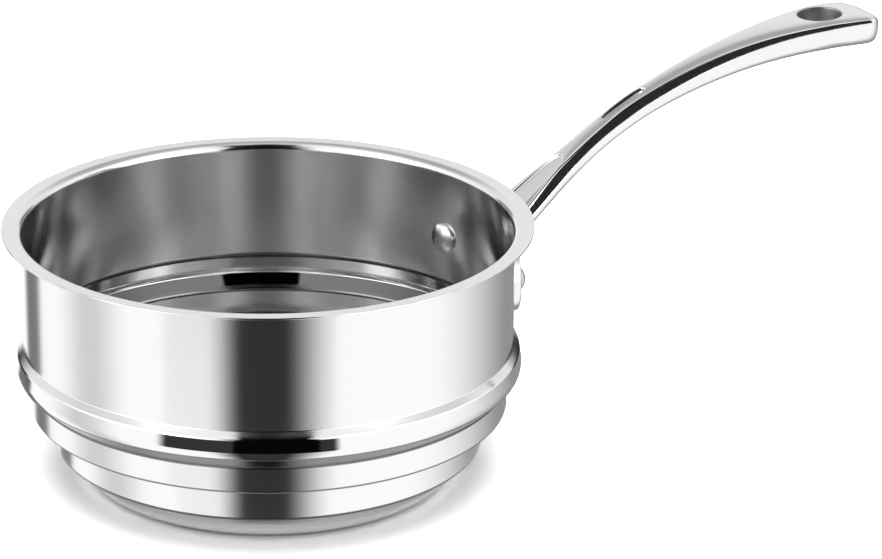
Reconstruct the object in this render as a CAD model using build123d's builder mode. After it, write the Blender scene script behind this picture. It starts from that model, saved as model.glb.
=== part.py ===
from build123d import *
import math
import os

# Stepped insert pan of a double boiler, in millimetres.
# Origin at the centre of the flat base's underside, +Z up, handle along +X.

# The pan's bore is also the bore of the largest saucepan that it serves
bore_diameter = 200.0
saucepan_step = 20.0
seat_clearance = 1.7

# Driving dimensions of the pan body
sheet = 0.8
neck_height = 13.4
lower_band_height = 16.0
upper_band_height = 12.9
seat_slope_height = 2.9
nose_height = 5.0
shoulder_height = 5.2
wall_height = 50.8
nose_reach = 3.2
shoulder_reach = 2.7
lip_width = 7.8
lip_rise = 0.3

# Bend radii of the drawn sheet, on its outer face
base_corner = 8.0
step_bend = 1.3
inner_step_bend = 1.2
seat_bend = 1.4
nose_bend = 1.0
shoulder_bend = 5.0
wall_bend = 3.0
lip_bend = 2.7
edge_round_share = 0.45

# Driving dimensions of the rivets
rivet_spacing = 55.0
rivet_height = 75.4
shank_diameter = 5.0
inner_head_diameter = 12.4
inner_head_height = 2.6
outer_head_diameter = 10.0
outer_head_height = 3.3
rivet_fit = 0.1
head_seat_gap = 0.1
head_edge_share = 0.3

# Driving dimensions of the handle
flange_thickness = 3.7
flange_height = 28.0
flange_end_margin = 12.5
flange_edge_round = 1.2
flange_seat_gap = 0.2
grip_reach = 188.6
root_height = 87.8
rise_angle = 37.0
bend_start = 36.6
bend_radius = 217.5
tip_radius = 400.0
level_angle = 3.0
tip_width = 28.4
tip_depth = 13.3
end_length = 15.0
end_width_power = 0.8
end_depth_power = 0.35
end_drop_share = 0.7
end_last_turn = 84
end_stations = 7
hole_diameter = 18.6
hole_from_tip = 26.0

# Sections of the grip, as shares: place along the top line, width and depth
station_shares = (0.0, 0.07, 0.12, 0.18, 0.23, 0.295, 0.38, 0.48, 0.58, 0.68, 0.78, 0.86)
width_shares = (1.12, 0.92, 0.76, 0.60, 0.49, 0.435, 0.44, 0.485, 0.54, 0.635, 0.79, 0.95)
depth_shares = (0.75, 0.76, 0.76, 0.76, 0.76, 0.76, 0.78, 0.84, 0.91, 0.96, 1.0, 1.0)
top_width_share = 0.84
belly_depth_share = 0.42
belly_corner_share = 0.80
belly_corner_depth_share = 0.80

# Trough at the root of the grip and eye-shaped recess beyond it
trough_width = 9.4
trough_depth = 2.6
trough_end = 47.0
eye_from_root = 78.0
eye_length = 26.0
eye_width = 7.6

# Radii and levels worked out from the sizes above
bore_radius = bore_diameter / 2
wall_radius = bore_radius + sheet
rim_radius = wall_radius + lip_width
upper_band_radius = bore_radius - seat_clearance
lower_band_radius = upper_band_radius - saucepan_step / 2
neck_radius = lower_band_radius - saucepan_step / 2
lower_step_z = neck_height
upper_step_z = lower_step_z + lower_band_height
seat_z = upper_step_z + upper_band_height
nose_z = seat_z + seat_slope_height
nose_top_z = nose_z + nose_height
shoulder_z = nose_top_z + shoulder_height
lip_z = shoulder_z + wall_height
rim_z = lip_z + lip_rise + sheet

# Angle of the rivets about the pan's axis, and the radii of the flange
rivet_angle = math.degrees(math.asin(rivet_spacing / 2 / wall_radius))
flange_inner_radius = wall_radius + flange_seat_gap
flange_outer_radius = flange_inner_radius + flange_thickness

# Planes of the rivet holes: on the pan's axis, facing out along each rivet
rivet_planes = {
    side: Plane(origin=(0, 0, rivet_height), x_dir=(0, 0, 1),
                z_dir=Vector(1, 0, 0).rotate(Axis.Z, side * rivet_angle))
    for side in (-1, 1)
}

os.makedirs("parts", exist_ok=True)

# Pan body: one sheet, revolved from the line of its outer face
with BuildPart() as pan_body:
    with BuildSketch(Plane.XZ) as section:
        with BuildLine() as sheet_line:
            FilletPolyline(
                (0, 0),
                (neck_radius, 0),
                (neck_radius, lower_step_z),
                (lower_band_radius, lower_step_z),
                (lower_band_radius, upper_step_z),
                (upper_band_radius, upper_step_z),
                (upper_band_radius, seat_z),
                (wall_radius + nose_reach, nose_z),
                (wall_radius + shoulder_reach, nose_top_z),
                (wall_radius, shoulder_z),
                (wall_radius, lip_z),
                (rim_radius, lip_z + lip_rise),
                radius=[
                    base_corner,
                    inner_step_bend,
                    step_bend,
                    inner_step_bend,
                    step_bend,
                    seat_bend,
                    nose_bend,
                    shoulder_bend,
                    wall_bend,
                    lip_bend,
                ],
            )
            offset(amount=sheet, side=Side.LEFT, closed=True)
        make_face()
    revolve(axis=Axis.Z)
    rim_edges = pan_body.edges().filter_by(GeomType.CIRCLE).sort_by(lambda e: e.radius)[-2:]
    fillet(rim_edges, radius=sheet * edge_round_share)
    for side in (-1, 1):
        with BuildSketch(rivet_planes[side]):
            Circle(shank_diameter / 2 + rivet_fit)
        extrude(amount=rim_radius, mode=Mode.SUBTRACT)
pan_body.part.label = "pan_body"
export_step(pan_body.part, "parts/pan_body.step")

# Rivets: a domed head inside the bowl, a shank, and a smaller domed head on the flange
inner_seat_x = math.sqrt(bore_radius ** 2 - (inner_head_diameter / 2) ** 2) - head_seat_gap
inner_edge_x = inner_seat_x - inner_head_height * head_edge_share
outer_seat_x = flange_outer_radius + head_seat_gap
outer_edge_x = outer_seat_x + outer_head_height * head_edge_share

for name, side in (("near_rivet", -1), ("far_rivet", 1)):
    radial = Vector(1, 0, 0).rotate(Axis.Z, side * rivet_angle)
    rivet_plane = Plane(origin=(0, 0, rivet_height), x_dir=radial, z_dir=(0, 0, 1))
    with BuildPart() as rivet:
        with BuildSketch(rivet_plane):
            with BuildLine():
                TangentArc(
                    (inner_seat_x - inner_head_height, 0),
                    (inner_edge_x, inner_head_diameter / 2),
                    tangent=(0, 1),
                )
                Polyline(
                    (inner_edge_x, inner_head_diameter / 2),
                    (inner_seat_x, inner_head_diameter / 2),
                    (inner_seat_x, shank_diameter / 2),
                    (outer_seat_x, shank_diameter / 2),
                    (outer_seat_x, outer_head_diameter / 2),
                    (outer_edge_x, outer_head_diameter / 2),
                )
                TangentArc(
                    (outer_seat_x + outer_head_height, 0),
                    (outer_edge_x, outer_head_diameter / 2),
                    tangent=(0, 1),
                )
                Line((outer_seat_x + outer_head_height, 0), (inner_seat_x - inner_head_height, 0))
            make_face()
        revolve(axis=Axis(rivet_plane.origin, radial))
    rivet.part.label = name
    export_step(rivet.part, f"parts/{name}.step")

# Line of the grip's top face: straight rise from the wall, then two arcs to the level tip
rise = math.radians(rise_angle)
with BuildLine(Plane.XZ) as top_line:
    run_end_x = wall_radius + bend_start
    run_end_z = root_height + bend_start * math.tan(rise)
    run = Line((bore_radius, root_height - sheet * math.tan(rise)), (run_end_x, run_end_z))
    bend = JernArc(start=run @ 1, tangent=run % 1, radius=bend_radius,
                   arc_size=level_angle - rise_angle)
    tip_reach = wall_radius + grip_reach - (bend @ 1).X
    tip_drop = math.asin(math.sin(math.radians(level_angle)) - tip_reach / tip_radius)
    JernArc(start=bend @ 1, tangent=bend % 1, radius=tip_radius,
            arc_size=math.degrees(tip_drop) - level_angle)
top_wire = top_line.wire()

# Flange: an upright slot shape, curved to the wall, with its outer edge rounded
with BuildPart() as flange:
    with BuildSketch(Plane.YZ):
        with Locations((0, rivet_height)):
            SlotOverall(rivet_spacing + 2 * flange_end_margin, flange_height)
    extrude(amount=rim_radius)
    Cylinder(flange_outer_radius, 2 * rim_z, mode=Mode.INTERSECT)
    Cylinder(flange_inner_radius, 2 * rim_z, mode=Mode.SUBTRACT)
    fillet(flange.faces().sort_by(Axis.X)[-1].edges(), radius=flange_edge_round)

# Stations of the grip: its body, then the rounded end of the tip
no_drops = (0,) * len(station_shares)
stations = list(zip(station_shares, width_shares, depth_shares, no_drops))
end_share = end_length / top_wire.length
for step in range(end_stations):
    turn = math.radians(end_last_turn) * step / (end_stations - 1)
    reach_share = math.sin(turn) ** end_width_power
    narrow_share = math.cos(turn) ** end_width_power
    thin_share = math.cos(turn) ** end_depth_power
    end_drop = tip_depth * (1 - thin_share) * end_drop_share
    stations.append((1 - end_share * (1 - reach_share), narrow_share, thin_share, end_drop))

with BuildPart() as handle:
    for place, width_share, depth_share, drop in stations:
        half_width = tip_width / 2 * width_share
        depth = tip_depth * depth_share
        station = Plane(origin=top_wire @ place, x_dir=(0, 1, 0), z_dir=top_wire % place)
        top_corner = half_width * top_width_share
        belly_corner = half_width * belly_corner_share
        belly_y = -drop - depth * belly_depth_share
        corner_y = -drop - depth * belly_corner_depth_share
        with BuildSketch(station):
            with BuildLine():
                Line((-top_corner, -drop), (top_corner, -drop))
                Spline(
                    (top_corner, -drop),
                    (half_width, belly_y),
                    (belly_corner, corner_y),
                    (0, -drop - depth),
                    (-belly_corner, corner_y),
                    (-half_width, belly_y),
                    (-top_corner, -drop),
                )
            make_face()
    loft()
    add(flange.part)
    Cylinder(flange_inner_radius, 2 * rim_z, mode=Mode.SUBTRACT)

    # Trough: a round-ended groove down the straight part of the grip, open at the wall
    trough_plane = Plane(origin=run @ 0, x_dir=run % 0, z_dir=(-math.sin(rise), 0, math.cos(rise)))
    with BuildSketch(trough_plane.offset(-trough_depth)) as trough_outline:
        SlotOverall(2 * trough_end, trough_width)
    extrude(amount=trough_depth + tip_depth, mode=Mode.SUBTRACT)

    # Eye-shaped recess: half of a long egg shape sunk into the top face
    eye_place = eye_from_root / top_wire.length
    eye_plane = Plane(origin=top_wire @ eye_place, x_dir=top_wire % eye_place, z_dir=(0, -1, 0))
    with BuildSketch(eye_plane) as eye_section:
        Ellipse(eye_length / 2, eye_width / 2)
        Rectangle(eye_length, eye_width, align=(Align.CENTER, Align.MIN), mode=Mode.SUBTRACT)
    revolve(axis=Axis(eye_plane.origin, eye_plane.x_dir), mode=Mode.SUBTRACT)

    # Hanging hole through the tip
    hole_place = 1 - hole_from_tip / top_wire.length
    hole_plane = Plane(origin=top_wire @ hole_place, x_dir=(0, 1, 0), z_dir=(0, 0, 1))
    with BuildSketch(hole_plane):
        Circle(hole_diameter / 2)
    extrude(amount=tip_depth * 2, both=True, mode=Mode.SUBTRACT)

    # Rivet holes through the flange
    for side in (-1, 1):
        with BuildSketch(rivet_planes[side]):
            Circle(shank_diameter / 2 + rivet_fit)
        extrude(amount=rim_radius, mode=Mode.SUBTRACT)
handle.part.label = "handle"
export_step(handle.part, "parts/handle.step")
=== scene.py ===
import math

import bmesh
import bpy
from mathutils import Matrix, Vector


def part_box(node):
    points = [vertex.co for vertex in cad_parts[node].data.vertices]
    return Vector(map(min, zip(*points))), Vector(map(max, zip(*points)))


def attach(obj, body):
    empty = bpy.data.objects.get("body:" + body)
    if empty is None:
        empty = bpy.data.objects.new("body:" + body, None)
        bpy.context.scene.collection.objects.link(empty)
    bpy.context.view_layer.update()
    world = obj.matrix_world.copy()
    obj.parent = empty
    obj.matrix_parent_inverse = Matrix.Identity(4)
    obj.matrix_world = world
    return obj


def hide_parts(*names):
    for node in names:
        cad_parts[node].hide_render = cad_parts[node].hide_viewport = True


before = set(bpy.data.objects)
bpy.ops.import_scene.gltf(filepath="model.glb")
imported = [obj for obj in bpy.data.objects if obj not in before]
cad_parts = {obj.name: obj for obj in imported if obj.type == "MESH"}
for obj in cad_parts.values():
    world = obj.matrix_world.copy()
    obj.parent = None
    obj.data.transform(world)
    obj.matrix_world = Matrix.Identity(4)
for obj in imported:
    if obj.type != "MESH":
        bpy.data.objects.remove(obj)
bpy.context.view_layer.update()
MM = 0.001

# Camera: the photograph looks down on the pan from a little over 1.6 m away, past the left of
# the handle, through a long lens. The picture is a crop, so the lens is shifted sideways.
camera_place = Vector((-651.8, -1366.5, 655.3)) * MM
view_heading = math.radians(-25.5)
view_drop = math.radians(20.734)
view_roll = math.radians(-0.369)
sensor_width = 36.0
picture_width = 882
focal_pixels = 3952.9
axis_pixel = 267.9

bpy.ops.object.select_all(action="DESELECT")
bpy.ops.object.camera_add(location=camera_place)
camera = bpy.context.object
camera.name = "camera"
aim = Matrix.Rotation(view_heading, 3, "Z") @ Matrix.Rotation(math.pi / 2 - view_drop, 3, "X")
camera.rotation_euler = (aim @ Matrix.Rotation(view_roll, 3, "Z")).to_euler()
camera.data.sensor_width = sensor_width
camera.data.lens = focal_pixels / picture_width * sensor_width
camera.data.shift_x = (picture_width / 2 - axis_pixel) / picture_width
bpy.context.scene.camera = camera
bpy.context.scene.view_settings.view_transform = "Standard"


# Studio: a white sweep all round. The unlit parts of the room show in the polished metal: a gap
# with a doorway behind the camera, the foot of the room below the sweep, and two back corners.
class Signal:
    """The output of a shader node, with the arithmetic that the finishes use."""

    def __init__(self, tree, socket=None):
        self.tree = tree
        self.socket = socket

    def make(self, kind, settings=None, inputs=None, output=0):
        """Adds a node of a kind with its settings, then its inputs, by name or number."""
        made = self.tree.nodes.new(kind)
        for name, value in (settings or {}).items():
            setattr(made, name, value)
        for name, value in (inputs or {}).items():
            if isinstance(value, Signal):
                self.tree.links.new(value.socket, made.inputs[name])
            else:
                made.inputs[name].default_value = value
        return Signal(self.tree, made.outputs[output] if made.outputs else None)

    def other(self, name):
        """Another output of the same node."""
        return Signal(self.tree, self.socket.node.outputs[name])

    def math(self, operation, *values):
        return self.make("ShaderNodeMath", {"operation": operation}, dict(enumerate((self,) + values)))

    def __add__(self, value):
        return self.math("ADD", value)

    def __sub__(self, value):
        return self.math("SUBTRACT", value)

    def __rsub__(self, value):
        return (self * -1) + value

    def __mul__(self, value):
        return self.math("MULTIPLY", value)

    __radd__ = __add__
    __rmul__ = __mul__

    def rise(self, low, high):
        """Goes smoothly from 0 where the value is low to 1 where it is high."""
        return self.make("ShaderNodeMapRange", {"interpolation_type": "SMOOTHSTEP"},
                         {"Value": self, "From Min": low, "From Max": high})

    def window(self, low, high, soft_low, soft_high):
        """Is 1 between low and high, and fades to 0 over the soft widths outside them."""
        return self.rise(low - soft_low, low) * (1 - self.rise(high, high + soft_high))


def empty_tree(owner):
    """Gives an owner of shader nodes an empty tree, and a signal to make its nodes from."""
    owner.use_nodes = True
    owner.node_tree.nodes.clear()
    return Signal(owner.node_tree)


world = bpy.data.worlds.new("studio")
bpy.context.scene.world = world
studio = empty_tree(world)
direction = studio.make("ShaderNodeTexCoord", output="Generated")
# Turned about the vertical until -Y points from the pan to the camera and +X to its right
direction = studio.make("ShaderNodeVectorRotate", {"rotation_type": "Z_AXIS"},
                        {"Vector": direction, "Angle": -view_heading})
aside = studio.make("ShaderNodeSeparateXYZ", inputs={0: direction}, output="X")
azimuth = aside.math("ARCTAN2", aside.other("Y") * -1) * math.degrees(1)
elevation = aside.other("Z").math("ARCSINE") * math.degrees(1)

behind = aside.other("Y").rise(-0.2, 0.3)
front = 1 - behind
above = elevation.rise(-18, -13)
below_eye = 1 - elevation.rise(4, 16)

# The unlit parts, in degrees of azimuth and elevation; the doorway narrows towards its top
gap = azimuth.window(-12, 7, 18, 26) * (1 - elevation.rise(75, 88))
doorway = (aside * (elevation.rise(10, 60) * 0.6 + 1)).window(-0.25, 0.36, 0.03, 0.03)
doorway = doorway * above * (1 - elevation.rise(70, 82)) * front
foot = azimuth.window(-45, 28, 6, 4) * elevation.window(-16, -4, 2, 3)
left_corner = azimuth.window(-150, -136, 8, 6) * below_eye * (above * 0.15 + 0.85)
right_corner = azimuth.window(141, 158, 4, 4) * above * below_eye
dark = gap
for part in (doorway, foot, left_corner, right_corner):
    dark = dark.math("MAXIMUM", part)

# The sweep is duller at its sides, behind the pan and overhead, and brighter beside the camera
sides = azimuth.window(-92, -90, 24, 24) * 0.36 + azimuth.rise(78, 150) * 0.72
sides = sides * (1 - elevation.rise(-6, 10))
backdrop = azimuth.math("ABSOLUTE").rise(100, 130) * elevation.window(10, 40, 8, 10) * 0.2
overhead = elevation.rise(22, 50) * (behind * 0.5 + 0.1)
glow = elevation.window(10, 36, 10, 14) * front * 0.3
beside = azimuth.math("ABSOLUTE").window(44, 68, 10, 10) * elevation.window(4, 42, 6, 14) * 1.7
sweep_light = 1.1
gap_light = 0.036
doorway_light = 0.002
mirrored = (1 - overhead + glow + beside) * (1 - backdrop) * (1 - sides)
unlit = gap_light - doorway * (gap_light - doorway_light)
mirrored = mirrored * (1 - dark) * sweep_light + dark * unlit

ambient = 0.45
seen = studio.make("ShaderNodeLightPath", output="Is Camera Ray")
glossy = seen.other("Is Glossy Ray")
strength = seen + (1 - seen) * (glossy * mirrored + (1 - glossy) * ambient)
sweep = studio.make("ShaderNodeBackground", inputs={"Color": (1, 1, 1, 1), "Strength": strength})
studio.make("ShaderNodeOutputWorld", inputs={"Surface": sweep})

# Key light: one broad soft box overhead, a little towards the camera. It lights the floor, and
# the polished metal shows the white sweep in its place.
key_distance = 2.4
key_rise = math.radians(78)
key_size = 2.6
key_power = 45.0
key_place = Matrix.Rotation(view_heading, 3, "Z") @ Vector((0, -math.cos(key_rise), math.sin(key_rise)))
key_place *= key_distance
bpy.ops.object.light_add(type="AREA", location=key_place)
key = bpy.context.object
key.name = "key_light"
key.data.shape = "DISK"
key.data.size = key_size
key.data.energy = key_power
key.rotation_euler = key_place.to_track_quat("Z", "Y").to_euler()
key.visible_glossy = False

# Floor: the white sweep that the pan stands on. It is exposed to white around the pan's shadow,
# and the polished metal shows only the part of it close to the pan, with the rest of the sweep
# behind it.
bpy.ops.object.select_all(action="DESELECT")
bpy.ops.mesh.primitive_plane_add(size=30.0)
floor = bpy.context.object
floor.name = "floor"
floor_white = bpy.data.materials.new("floor_white")
paint = empty_tree(floor_white)
place = paint.make("ShaderNodeTexCoord", output="Object")
away = paint.make("ShaderNodeVectorMath", {"operation": "LENGTH"}, {0: place}, "Value")
seen = paint.make("ShaderNodeLightPath", output="Is Camera Ray")
glossy = seen.other("Is Glossy Ray")
# How white the floor is to the camera, in the polished metal, and to all other light
white_seen = 2.15
white_mirrored = 1.7
white_plain = 0.8
white = seen * (white_seen - white_plain) + glossy * (white_mirrored - white_plain) + white_plain
lit = paint.make("ShaderNodeBsdfDiffuse", inputs={"Color": white})
clear = paint.make("ShaderNodeBsdfTransparent")
beyond = glossy * away.rise(88 * MM, 108 * MM)
both = paint.make("ShaderNodeMixShader", inputs={0: beyond, 1: lit, 2: clear})
paint.make("ShaderNodeOutputMaterial", inputs={"Surface": both})
floor.data.materials.append(floor_white)


# Pan body: one disc of stainless sheet, drawn into a bowl with a neck, two stepped bands, a
# bead to rest on the saucepan's rim, a straight wall and a flared lip. Spun satin all over,
# with the bead polished bright.
pan_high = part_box("pan_body")[1]
sheet = 0.8 * MM
wall_radius = 100.8 * MM
rim_radius = pan_high.x
band_radii = (78.3 * MM, 88.3 * MM, 98.3 * MM)
around = 256
near = sheet / 9
# Corners of the outer face from the base up: radius, height and the radius of the bend
pan_corners = (
    (band_radii[0], 0.0, 8.0 * MM),
    (band_radii[0], 13.4 * MM, 1.2 * MM),
    (band_radii[1], 13.4 * MM, 1.3 * MM),
    (band_radii[1], 29.4 * MM, 1.2 * MM),
    (band_radii[2], 29.4 * MM, 1.3 * MM),
    (band_radii[2], 40.8 * MM, 1.0 * MM),
    (wall_radius + 3.0 * MM, 46.2 * MM, 1.2 * MM),
    (wall_radius + 3.5 * MM, 48.4 * MM, 6.0 * MM),
    (wall_radius + 2.6 * MM, 54.4 * MM, 1.6 * MM),
    (wall_radius, 57.0 * MM, 0.6 * MM),
    (wall_radius, 106.2 * MM, 2.7 * MM),
    (rim_radius, 106.5 * MM, 0.0),
)


def edit(piece, mode):
    """Enters edit mode on a piece with nothing selected, in vertex, edge or face mode."""
    bpy.context.view_layer.objects.active = piece
    bpy.ops.object.mode_set(mode="EDIT")
    bpy.ops.mesh.select_mode(type=mode)
    bpy.ops.mesh.select_all(action="DESELECT")


def pick(piece, kind, test):
    """In edit mode, selects only the vertices, edges or faces whose corners all pass the test."""
    bpy.ops.mesh.select_all(action="DESELECT")
    mesh = bmesh.from_edit_mesh(piece.data)
    for element in getattr(mesh, kind):
        if kind == "verts":
            chosen = test(element.co)
        else:
            chosen = all(test(corner.co) for corner in element.verts)
        if chosen:
            element.select_set(True)
    bmesh.update_edit_mesh(piece.data)


def modify(piece, kind, **settings):
    """Adds a modifier to a piece and applies it."""
    bpy.context.view_layer.objects.active = piece
    modifier = piece.modifiers.new(kind.lower(), kind)
    for name, value in settings.items():
        setattr(modifier, name, value)
    bpy.ops.object.modifier_apply(modifier=modifier.name)


def smooth(piece, angle):
    """Shades a piece smooth up to an angle between faces, and keeps its flat faces flat."""
    bpy.ops.object.select_all(action="DESELECT")
    piece.select_set(True)
    bpy.context.view_layer.objects.active = piece
    bpy.ops.object.shade_smooth_by_angle(angle=math.radians(angle))
    modify(piece, "WEIGHTED_NORMAL", keep_sharp=True)


bpy.ops.object.select_all(action="DESELECT")
bpy.ops.mesh.primitive_circle_add(vertices=around, radius=pan_corners[0][0], fill_type="NGON")
pan = bpy.context.object
pan.name = "pan_shell"
edit(pan, "EDGE")
bpy.ops.mesh.select_non_manifold()
for (radius, height, bend), (next_radius, next_height, next_bend) in zip(pan_corners, pan_corners[1:]):
    bpy.ops.mesh.extrude_edges_move(TRANSFORM_OT_translate={"value": (0, 0, next_height - height)})
    growth = next_radius / radius
    bpy.ops.transform.resize(value=(growth, growth, 1), center_override=(0, 0, 0))
for before, corner, after in zip(((0, 0, 0),) + pan_corners, pan_corners, pan_corners[1:]):
    radius, height, bend = corner
    incoming = Vector((radius - before[0], height - before[1]))
    outgoing = Vector((after[0] - radius, after[1] - height))
    turn = incoming.angle(outgoing)
    pick(pan, "edges", lambda co: abs(co.z - height) < near and abs(co.xy.length - radius) < near)
    bpy.ops.mesh.bevel(offset=bend * math.tan(turn / 2), segments=max(4, round(math.degrees(turn) / 8)),
                       profile=0.5, affect="EDGES")
bpy.ops.mesh.select_all(action="SELECT")
bpy.ops.mesh.normals_make_consistent(inside=True)
bpy.ops.object.mode_set(mode="OBJECT")
modify(pan, "SOLIDIFY", thickness=sheet, offset=-1, material_offset=1)
modify(pan, "BEVEL", width=sheet * 0.4, segments=3, limit_method="ANGLE", angle_limit=math.radians(70))
smooth(pan, 30)


def steel(name, shade, roughness, marks, relief, grain=0.0, roughness_and_shade_painted=None, metallic=1.0):
    """Stainless steel whose marks tint it and roughen it a little. Its grain runs round the
    axis and spreads reflections across itself; an optional function of place gives, from place to
    place, what the roughness is multiplied by, and what the colour is multiplied by to paint in shade."""
    made = bpy.data.materials.new(name)
    paint = empty_tree(made)
    place = paint.make("ShaderNodeTexCoord", output="Object")
    coarse, fine = marks(place)
    colour = paint.make("ShaderNodeMix", {"data_type": "RGBA"},
                        {"Factor": coarse, 6: (shade * 0.94,) * 3 + (1,), 7: (shade,) * 3 + (1,)}, 2)
    rough = (coarse - 0.5) * (roughness * 0.4) + roughness
    if roughness_and_shade_painted:
        rougher, shade_painted_in = roughness_and_shade_painted(place)
        rough = rough * rougher
        colour = colour.make("ShaderNodeVectorMath", {"operation": "SCALE"}, {0: colour, "Scale": shade_painted_in})
    bump = paint.make("ShaderNodeBump", inputs={"Strength": relief, "Distance": 0.05 * MM, "Height": fine})
    metal = paint.make("ShaderNodeBsdfPrincipled", inputs={
        "Base Color": colour, "Metallic": metallic, "Roughness": rough, "Normal": bump,
        "Anisotropic": grain, "Anisotropic Rotation": 0.25})
    paint.make("ShaderNodeOutputMaterial", inputs={"Surface": metal})
    return made


def spun(place):
    """Fine rings about the pan's axis, as a spinning pad leaves them, and slow cloudy marks."""
    x = place.make("ShaderNodeSeparateXYZ", inputs={0: place}, output="X")
    y, z = x.other("Y"), x.other("Z")
    out = (x * x + y * y).math("SQRT")
    thread = place.make("ShaderNodeCombineXYZ",
                        inputs={0: y.math("ARCTAN2", x) * 1.5, 1: (z - out) * 2600.0})
    fine = place.make("ShaderNodeTexNoise", {"noise_dimensions": "2D"},
                      {"Vector": thread, "Scale": 1.0, "Detail": 3.0, "Roughness": 0.6})
    cloud = place.make("ShaderNodeTexNoise", inputs={"Vector": place, "Scale": 28.0, "Detail": 2.0})
    return fine * 0.7 + cloud * 0.3, fine


# Rings of painted shade on the shell: dark bands painted into the colour at the contact line under
# the base, in the bends under the bands and under the bead, standing in for shadow and for dark
# reflections of the shadowed floor. For each: from and to what height in mm, how soft they are
# below and above in mm, and what part of the shade is taken off
outer_painted_shade = (
    (-1, 1.6, 0.1, 1.2, 0.6),
    (8.8, 13.3, 4.0, 1.0, 0.6),
    (13.4, 14.5, 0.3, 0.5, 0.85),
    (29.4, 30.4, 0.3, 0.4, 0.75),
    (40.3, 46.3, 0.5, 0.5, 0.78),
)
# Inside, painted shade: a dark band in the channel behind the bead, standing in for its dark reflection,
# and a darker ring in the bend of the lip
inner_painted_shade = (
    (40.6, 45.6, 0.3, 0.6, 0.78),
    (46.4, 55.0, 0.4, 1.0, 0.35),
    (104.2, 105.5, 0.3, 0.3, 0.8),
)


def rings(z, table):
    """What part of the shade is taken off at a height, from a table of rings of painted shade."""
    darkening = 0
    for low, high, below, above_it, amount in table:
        darkening = darkening + z.window(low * MM, high * MM, below * MM, above_it * MM) * amount
    return darkening


def stepped(place):
    """The bead is polished brighter than the wall and the bands. The bends under the bands and
    the bead, and the foot of the base, get painted shade: dark rings in the colour that stand in for
    shadow and dark reflections there."""
    z = place.make("ShaderNodeSeparateXYZ", inputs={0: place}, output="Z")
    bead = z.window(43.0 * MM, 54.0 * MM, 0.8 * MM, 2.0 * MM)
    return 1 - bead * 0.75, 1 - rings(z, outer_painted_shade)


def channel(place):
    """Inside, the channel behind the bead and the bend of the lip get painted shade: dark rings in the
    colour that stand in for the dark reflections there.
    """
    z = place.make("ShaderNodeSeparateXYZ", inputs={0: place}, output="Z")
    return 1, 1 - rings(z, inner_painted_shade)


pan.data.materials.append(steel("pan_outside", 0.90, 0.16, spun, 0.10, 0.85, stepped))
pan.data.materials.append(steel("pan_inside", 0.92, 0.34, spun, 0.3, 1.0, channel, 0.75))
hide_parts("pan_body")
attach(pan, "root")

# Handle: one stainless casting, ground and polished. Its flange is a slot-shaped plate curved
# to the wall. Its grip rises from the flange, bends level and widens to a rounded tip, with a
# trough at the root, a thumb recess beyond it and a hanging hole near the tip.
flange_inner = 101.0 * MM
flange_outer = 104.7 * MM
flange_reach = 40.0 * MM
flange_middle = 75.4 * MM
flange_half = 14.0 * MM
root_height = 87.8 * MM
rise = math.radians(37.0)
level = math.radians(3.0)
run_end = wall_radius + 36.6 * MM
bend_radius = 217.5 * MM
tip_radius = 400.0 * MM
lean_run = 22.0 * MM
handle_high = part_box("handle")[1]

line_start = 100.0 * MM
run_length = (run_end - line_start) / math.cos(rise)
bend_length = bend_radius * (rise - level)
bend_end = run_end + bend_radius * (math.sin(rise) - math.sin(level))
tip_turn = level - math.asin(math.sin(level) - (handle_high.x - bend_end) / tip_radius)
grip_length = run_length + bend_length + tip_radius * tip_turn


def bent(distance, across, up):
    """A place on the grip, from its place on a straight bar: how far along the top line, how
    far across and how far above it. At the root the sections stand upright, as the flange."""
    turned = rise - min(max(distance - run_length, 0) / bend_radius, rise - level)
    slope = turned - max(distance - run_length - bend_length, 0) / tip_radius
    x = (line_start + min(distance, run_length) * math.cos(rise)
         + bend_radius * (math.sin(rise) - math.sin(turned))
         + tip_radius * (math.sin(turned) - math.sin(slope)))
    z = (root_height - sheet * math.tan(rise) + min(distance, run_length) * math.sin(rise)
         + bend_radius * (math.cos(turned) - math.cos(rise))
         + tip_radius * (math.cos(slope) - math.cos(turned)))
    lean = slope * min(distance / lean_run, 1)
    up /= math.cos(slope - lean)
    return Vector((x - math.sin(lean) * up, across, z + math.cos(lean) * up))


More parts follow.
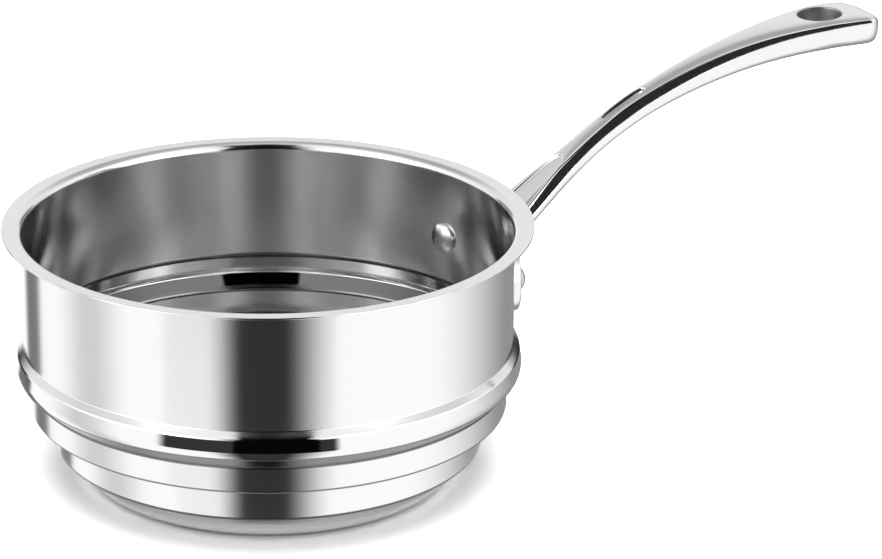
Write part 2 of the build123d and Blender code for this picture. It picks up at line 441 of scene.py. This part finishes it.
# The bar's sections in mm: distance, half width, depth, half width of the flat on top, how far
# the top falls from that flat to the shoulders, how far the sides lean in, and how far the whole
# section lies below the top line
hole_middle = grip_length - 26.0 * MM
hole_radius = 9.3 * MM
hole_cage = hole_radius / 0.902
hole_side = hole_cage * math.sqrt(0.5)
tip = grip_length / MM
sections = (
    (3.1, 17.0, 10.6, 6.9, 0.3, 1.5, 0),
    (9, 14.6, 10.3, 6.9, 0.3, 1.7, 0),
    (20, 12.0, 10.3, 6.9, 0.3, 1.8, 0),
    (32, 9.6, 10.3, 6.5, 0.3, 1.9, 0),
    (42, 7.9, 10.3, 5.2, 0.4, 1.7, 0),
    (47, 7.1, 10.3, 3.2, 0.5, 1.5, 0),
    (58, 6.5, 10.3, 2.0, 0.5, 1.3, 0),
    (69, 6.3, 10.4, 1.8, 0.5, 1.3, 0),
    (73, 6.3, 10.5, 2.7, 0.5, 1.4, 0),
    (81, 6.4, 10.7, 3.0, 0.5, 1.4, 0),
    (89, 6.5, 11.0, 2.7, 0.5, 1.4, 0),
    (93, 6.7, 11.2, 1.8, 0.6, 1.4, 0),
    (106, 7.2, 12.0, 2.2, 0.7, 1.5, 0),
    (122, 7.9, 12.9, 3.0, 0.8, 1.4, 0),
    (142, 9.3, 13.6, 4.6, 0.9, 1.1, -0.1),
    (158, 11.3, 14.2, 6.4, 0.9, 0.8, -0.3),
    ((hole_middle - hole_side) / MM, 13.7, 14.7, hole_side / MM, 0.9, 0.5, -0.6),
    (hole_middle / MM, 14.5, 14.9, hole_cage / MM, 0.8, 0.4, -0.7),
    ((hole_middle + hole_side) / MM, 14.9, 15.0, hole_side / MM, 0.8, 0.3, -0.8),
    (tip - 11, 15.0, 15.1, 7.0, 0.8, 0.3, -0.7),
    (tip - 6.8, 14.5, 15.0, 6.6, 0.8, 0.3, -0.4),
    (tip - 3.4, 12.2, 14.0, 5.6, 0.8, 0.3, 0.7),
    (tip - 0.9, 8.4, 11.6, 4.2, 0.7, 0.3, 2.9),
    (tip + 0.4, 4.2, 7.8, 2.2, 0.6, 0.3, 5.4),
)


def outline(half, depth, flat, fall, lean, drop):
    """Half the bar's outline, from the middle of its top to the middle of its belly."""
    belly = max(0.45 * half, flat)
    shoulder = max(half - lean - 0.6, flat + 0.5)
    wide = max(belly / half - 0.5, 0) / 0.22
    return (
        (0, -drop),
        (flat, -drop),
        (shoulder, -fall - drop),
        (max(half - lean, shoulder + 0.2), -fall - 0.10 * depth - drop),
        (half, -0.52 * depth - drop),
        (max(0.82 * half, belly + 1.0), (0.10 * wide - 0.84) * depth - drop),
        (belly, (0.11 * wide ** 2 - 0.985) * depth - drop),
        (0, -depth - drop),
    )


bpy.ops.object.select_all(action="DESELECT")
bpy.ops.mesh.primitive_circle_add(vertices=14, radius=MM, fill_type="NGON", rotation=(0, math.pi / 2, 0))
handle = bpy.context.object
handle.name = "handle_casting"
bpy.ops.object.transform_apply()
edit(handle, "FACE")
bpy.ops.mesh.select_all(action="SELECT")
for index, (distance, *shape) in enumerate(sections):
    if index:
        bpy.ops.mesh.extrude_region_move()
    mesh = bmesh.from_edit_mesh(handle.data)
    end = next(face for face in mesh.faces if face.select)
    half = outline(*shape)
    ring = half + tuple((-across, up) for across, up in half[-2:0:-1])
    for loop, (across, up) in zip(end.loops, ring):
        loop.vert.co = (distance * MM, across * MM, up * MM)
    bmesh.update_edit_mesh(handle.data)
bpy.ops.mesh.select_all(action="SELECT")
bpy.ops.mesh.normals_make_consistent(inside=False)

# The trough and the thumb recess are sunk in the flat on top, in steps of how far in and how
# far down, in mm
trough = (9, 47, ((0.35, 0), (0.5, 0.3), (0.7, 0.8), (0.8, 0)))
recess = (69, 93, ((0.35, 0), (0.25, 0.4), (0.6, 1.4), (0.6, 1.3), (0.3, 0.2)))
for first, last, steps in (trough, recess):
    pick(handle, "faces",
         lambda co: abs(co.z) < 0.1 * MM and (first - 0.1) * MM < co.x < (last + 0.1) * MM)
    for inward, sunk in steps:
        bpy.ops.mesh.inset(thickness=inward * MM, depth=-sunk * MM)

# The floor of the trough is drawn on at its end, so that its end wall is steep
steeper = 0.9 * MM
pick(handle, "verts",
     lambda co: 44.5 * MM < co.x < 46 * MM and -1.5 * MM < co.z < -0.9 * MM and abs(co.y) < 3 * MM)
bpy.ops.transform.translate(value=(steeper, 0, 0))

# The hanging hole goes from the flat to the belly, with rounded edges
for side in (-1, 1):
    corner = hole_middle + side * hole_side
    pick(handle, "verts", lambda co: abs(co.y) < MM / 9 and abs(co.x - corner) < MM / 9)
    bpy.ops.transform.translate(value=(side * (hole_cage - hole_side), 0, 0))


def at_hole(co):
    """Is on the rim of the hole or inside it."""
    return math.hypot(co.x - hole_middle, co.y) < hole_cage + MM / 9


pick(handle, "faces", at_hole)
bpy.ops.mesh.delete(type="FACE")
bpy.ops.mesh.select_mode(type="EDGE")
bpy.ops.mesh.select_all(action="DESELECT")
bpy.ops.mesh.select_non_manifold()
bpy.ops.mesh.bridge_edge_loops()
for top in (True, False):
    pick(handle, "edges", lambda co: at_hole(co) and (co.z > -6.0 * MM) == top)
    bpy.ops.mesh.bevel(offset=0.7 * MM, segments=2, profile=0.5, affect="EDGES")
bpy.ops.mesh.select_all(action="SELECT")
bpy.ops.mesh.normals_make_consistent(inside=False)
bpy.ops.object.mode_set(mode="OBJECT")
modify(handle, "SUBSURF", levels=3, render_levels=3)
for vertex in handle.data.vertices:
    vertex.co = bent(*vertex.co)

# A black card beside the grip, which only the polished steel sees, draws the dark line along it
card_gap = 36.0 * MM
card_shift = 17.0 * MM
card_length = grip_length + 10.0 * MM
bpy.ops.object.select_all(action="DESELECT")
bpy.ops.mesh.primitive_grid_add(x_subdivisions=40, y_subdivisions=1, size=1.0)
card = bpy.context.object
card.name = "black_card"
for vertex in card.data.vertices:
    along, up = vertex.co.x + 0.5, vertex.co.y + 0.5
    # Its edges in mm above the grip's top line: it is low at the bowl and past the middle
    past = max(along - 0.5, 0)
    card_top = 10.0 + 34.0 * min(along * 2.2, 1) - 36.0 * past
    card_low = -1.0 - 9.0 * past
    vertex.co = bent(card_length * along, -card_gap, (card_low + up * (card_top - card_low)) * MM)
    vertex.co.x += card_shift
card_black = bpy.data.materials.new("card_black")
paint = empty_tree(card_black)
darkening = paint.make("ShaderNodeBsdfDiffuse", inputs={"Color": (0.045, 0.045, 0.045, 1)})
paint.make("ShaderNodeOutputMaterial", inputs={"Surface": darkening})
card.data.materials.append(card_black)
for kind in ("camera", "diffuse", "transmission", "shadow", "volume_scatter"):
    setattr(card, "visible_" + kind, False)

bpy.ops.object.select_all(action="DESELECT")
bpy.ops.mesh.primitive_circle_add(vertices=64, radius=flange_half, fill_type="NGON",
                                  location=(flange_inner, 0, flange_middle), rotation=(0, math.pi / 2, 0))
flange = bpy.context.object
bpy.ops.object.transform_apply()
edit(flange, "VERT")
for side in (-1, 1):
    pick(flange, "verts", lambda co: co.y * side > MM / 9)
    bpy.ops.transform.translate(value=(0, side * (flange_reach - flange_half), 0))
bpy.ops.mesh.select_mode(type="FACE")
bpy.ops.mesh.select_all(action="SELECT")
bpy.ops.mesh.extrude_region_move(TRANSFORM_OT_translate={"value": (flange_outer - flange_inner, 0, 0)})
pick(flange, "edges", lambda co: co.x > flange_outer - MM / 9)
bpy.ops.mesh.bevel(offset=1.2 * MM, segments=5, profile=0.5, affect="EDGES")
strips = 32
for strip in range(1, strips):
    bpy.ops.mesh.select_all(action="SELECT")
    bpy.ops.mesh.bisect(plane_co=(0, flange_reach * (2 * strip / strips - 1), 0), plane_no=(0, 1, 0))
bpy.ops.mesh.select_all(action="SELECT")
bpy.ops.mesh.normals_make_consistent(inside=False)
bpy.ops.object.mode_set(mode="OBJECT")
for vertex in flange.data.vertices:
    vertex.co.x = math.sqrt(vertex.co.x ** 2 - vertex.co.y ** 2)
smooth(handle, 50)
smooth(flange, 30)


def buffed(place):
    """The faint cloudy marks of a buffing wheel."""
    cloud = place.make("ShaderNodeTexNoise", inputs={"Vector": place, "Scale": 60.0, "Detail": 3.0})
    fine = place.make("ShaderNodeTexNoise", inputs={"Vector": place, "Scale": 700.0, "Detail": 2.0})
    return cloud, fine


def bored(place):
    """The bore of the hanging hole is left rougher than the buffed outside, and it gets painted shade: its
    colour is darkened there.
    """
    from_hole = place.make("ShaderNodeVectorMath", {"operation": "SUBTRACT"},
                           {0: place, 1: (bent(hole_middle, 0, 0).x, 0, 0)})
    flat = from_hole.make("ShaderNodeVectorMath", {"operation": "MULTIPLY"}, {0: from_hole, 1: (1, 1, 0)})
    out = flat.make("ShaderNodeVectorMath", {"operation": "LENGTH"}, {0: flat}, "Value")
    buffed_part = out.rise(hole_radius, hole_radius + 1.2 * MM)
    return 1 + (1 - buffed_part) * 3.5, 0.5 + buffed_part * 0.5


handle_polish = steel("handle_polish", 0.88, 0.10, buffed, 0.05, 0.0, bored)
for piece in (handle, flange):
    piece.data.materials.append(handle_polish)
modify(handle, "BOOLEAN", operation="UNION", solver="EXACT", object=flange)
bpy.data.objects.remove(flange)
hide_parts("handle")
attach(handle, "root")

# Rivets: two solid stainless pins through the wall and the flange. Each is upset into a wide
# low head inside the bowl and a smaller one on the flange, and both heads are polished.
rivet_height = 75.4 * MM
rivet_angle = math.asin(55.0 * MM / 2 / wall_radius)
shank_radius = 2.5 * MM
inner_seat = 99.7 * MM
outer_seat = 104.8 * MM
rivet_polish = steel("rivet_polish", 0.80, 0.25, buffed, 0.1)
bpy.ops.object.select_all(action="DESELECT")
bpy.ops.mesh.primitive_cylinder_add(vertices=48, radius=shank_radius, depth=outer_seat - inner_seat,
                                    location=(0, 0, (inner_seat + outer_seat) / 2))
rivet = bpy.context.object
bpy.ops.object.transform_apply()
# Where each head sits, which way it faces, its radius and its height
heads = ((inner_seat, -1, 6.7 * MM, 2.8 * MM), (outer_seat, 1, 5.0 * MM, 3.3 * MM))
for seat, out, head_radius, head_height in heads:
    # A head is the cap of a ball on a short rim
    rim = head_height * 0.3
    dome = head_height - rim
    ball = (head_radius ** 2 + dome ** 2) / (2 * dome)
    bpy.ops.mesh.primitive_uv_sphere_add(segments=64, ring_count=96, radius=ball)
    head = bpy.context.object
    edit(head, "EDGE")
    bpy.ops.mesh.select_all(action="SELECT")
    bpy.ops.mesh.bisect(plane_co=(0, 0, ball - dome), plane_no=(0, 0, 1), clear_inner=True)
    bpy.ops.mesh.select_all(action="DESELECT")
    bpy.ops.mesh.select_non_manifold()
    bpy.ops.mesh.extrude_edges_move(TRANSFORM_OT_translate={"value": (0, 0, -rim)})
    bpy.ops.mesh.edge_face_add()
    pick(head, "edges", lambda co: abs(co.z - ball + dome) < rim / 9)
    bpy.ops.mesh.bevel(offset=rim * 0.6, segments=4, profile=0.5, affect="EDGES")
    bpy.ops.object.mode_set(mode="OBJECT")
    head.rotation_euler.x = 0 if out > 0 else math.pi
    head.location.z = seat + out * (head_height - ball)
    bpy.ops.object.transform_apply()
    head.select_set(True)
    rivet.select_set(True)
    bpy.context.view_layer.objects.active = rivet
    bpy.ops.object.join()
rivet.location.z = 0
rivet.rotation_euler.y = math.pi / 2
bpy.ops.object.transform_apply()
rivet.data.materials.append(rivet_polish)
for name, side in (("near_rivet", -1), ("far_rivet", 1)):
    placed = rivet.copy()
    placed.data = rivet.data.copy()
    placed.name = name + "_pin"
    bpy.context.scene.collection.objects.link(placed)
    turned = Matrix.Rotation(side * rivet_angle, 4, "Z")
    placed.data.transform(Matrix.Translation((0, 0, rivet_height)) @ turned)
    smooth(placed, 35)
    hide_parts(name)
    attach(placed, "root")
bpy.data.objects.remove(rivet)
